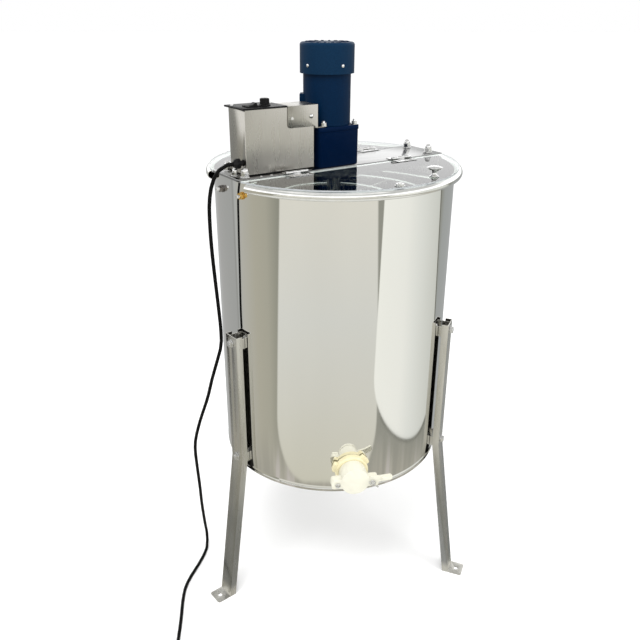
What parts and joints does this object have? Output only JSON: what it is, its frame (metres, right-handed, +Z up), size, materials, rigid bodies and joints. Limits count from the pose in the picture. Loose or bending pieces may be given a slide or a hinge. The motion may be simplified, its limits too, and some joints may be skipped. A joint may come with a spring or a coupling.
{
  "type": "honey extractor",
  "caption": "Electric honey extractor: steel drum on three splayed legs, top-mounted motor and control box, spinning comb basket, hinged clear half lids and a bottom honey gate.",
  "frame": {"origin": "on the floor, under the middle of the outline of the extractor without its cord", "axes": "+Z up, the honey gate faces -Y, +X is to the right seen from the gate"},
  "size_m": [0.6722, 0.7435, 1.1611],
  "materials": {
    "drum_steel": "mirror-polished stainless steel, faint vertical polish lines",
    "satin_steel": "satin stainless or galvanized steel",
    "bar_steel": "polished stainless sheet, softly blurred",
    "fastener_steel": "bright zinc-plated steel",
    "lid_acrylic": "clear acrylic, faint grey-green",
    "motor_paint": "dark navy satin enamel",
    "cream_plastic": "cream nylon, half gloss",
    "yellow_plastic": "pale yellow nylon, half gloss",
    "black_plastic": "black, satin",
    "cord_rubber": "black flexible PVC, dull",
    "gear_steel": "machined steel and iron, oiled",
    "stator_core": "laminated iron with copper windings"
  },
  "bodies": {
    "frame": {"drum_shell": "drum_steel", "drum_floor": "drum_steel", "bearing_cup": "satin_steel", "gate_body": "cream_plastic", "gate_inner_nut": "cream_plastic", "gate_ring_nut": "yellow_plastic", "gate_pivot_screw": "fastener_steel", "crossbar": "bar_steel", "bar_bracket_left": "satin_steel", "bar_bracket_right": "satin_steel", "gearbox_housing": "motor_paint", "motor_housing": "motor_paint", "fan_cover": "motor_paint", "stator": "stator_core", "control_box": "satin_steel", "box_hood": "satin_steel", "control_panel": "black_plastic", "cable_gland": "black_plastic", "motor_lead": "cord_rubber", "power_cord": "cord_rubber", "power_cord_coil": "cord_rubber", "power_plug": "cord_rubber", "leg_left": "satin_steel", "leg_bracket_left_upper": "satin_steel", "leg_bracket_left_lower": "satin_steel", "leg_right": "satin_steel", "leg_bracket_right_upper": "satin_steel", "leg_bracket_right_lower": "satin_steel", "leg_rear": "satin_steel", "leg_bracket_rear_upper": "satin_steel", "leg_bracket_rear_lower": "satin_steel", "front_hinge_leaf_left": "fastener_steel", "front_hinge_leaf_right": "fastener_steel", "rear_hinge_leaf_left": "fastener_steel", "rear_hinge_leaf_right": "fastener_steel"},
    "front_lid_body": {"front_lid": "lid_acrylic", "front_lid_knob": "fastener_steel", "front_lid_leaf_left": "fastener_steel", "front_lid_leaf_right": "fastener_steel"},
    "rear_lid_body": {"rear_lid": "lid_acrylic", "rear_lid_knob": "fastener_steel", "rear_lid_leaf_left": "fastener_steel", "rear_lid_leaf_right": "fastener_steel"},
    "basket": {"basket_shaft": "satin_steel", "basket_top_spokes": "satin_steel", "basket_top_ring": "satin_steel", "basket_guide_ring": "satin_steel", "basket_bottom_frame": "satin_steel", "basket_screen_front": "satin_steel", "basket_screen_rear": "satin_steel", "basket_screen_left": "satin_steel", "basket_screen_right": "satin_steel", "output_shaft": "gear_steel"},
    "rotor": {"rotor_and_fan": "gear_steel"},
    "lay_shaft": {"lay_gear": "gear_steel"},
    "speed_knob_body": {"speed_knob": "black_plastic"},
    "switch_rocker": {"power_switch": "black_plastic"},
    "gate_blade_body": {"gate_blade": "cream_plastic"},
    "gate_wing_body": {"gate_wing_screw": "fastener_steel"}
  },
  "joints": [
    {"name": "front_lid_hinge", "type": "hinge", "parent": "frame", "child": "front_lid_body", "pos_m": [0.02448, -0.07353, 0.9434], "axis": [-0.9048, -0.4258, 0], "range_deg": [0, 91]},
    {"name": "rear_lid_hinge", "type": "hinge", "parent": "frame", "child": "rear_lid_body", "pos_m": [-0.02448, 0.03053, 0.9434], "axis": [0.9048, 0.4258, 0], "range_deg": [0, 91]},
    {"name": "basket_spin", "type": "hinge", "parent": "frame", "child": "basket", "pos_m": [0, -0.0215, 0.6], "axis": [0, 0, 1], "continuous": true},
    {"name": "rotor_spin", "type": "hinge", "parent": "frame", "child": "rotor", "pos_m": [-0.01674, -0.02938, 1.056], "axis": [0, 0, 1], "continuous": true},
    {"name": "lay_gear_spin", "type": "hinge", "parent": "frame", "child": "lay_shaft", "pos_m": [-0.01668, -0.00778, 0.976], "axis": [0, 0, 1], "continuous": true},
    {"name": "speed_knob_turn", "type": "hinge", "parent": "frame", "child": "speed_knob_body", "pos_m": [-0.14181, -0.11, 1.064], "axis": [0, 0, -1], "range_deg": [0, 300]},
    {"name": "power_switch_rock", "type": "hinge", "parent": "frame", "child": "switch_rocker", "pos_m": [-0.16605, -0.12285, 1.0588], "axis": [-0.4258, 0.9048, 0], "range_deg": [0, 14]},
    {"name": "gate_blade_swing", "type": "hinge", "parent": "frame", "child": "gate_blade_body", "pos_m": [-0.0345, -0.3025, 0.369], "axis": [0, -1, 0], "range_deg": [0, 90]},
    {"name": "gate_wing_turn", "type": "hinge", "parent": "frame", "child": "gate_wing_body", "pos_m": [0.0345, -0.3025, 0.369], "axis": [0, -1, 0], "range_deg": [0, 360]}
  ],
  "couplings": [
    {"joint": "lay_gear_spin", "follows": "basket_spin", "ratio": -3},
    {"joint": "rotor_spin", "follows": "basket_spin", "ratio": 9}
  ]
}
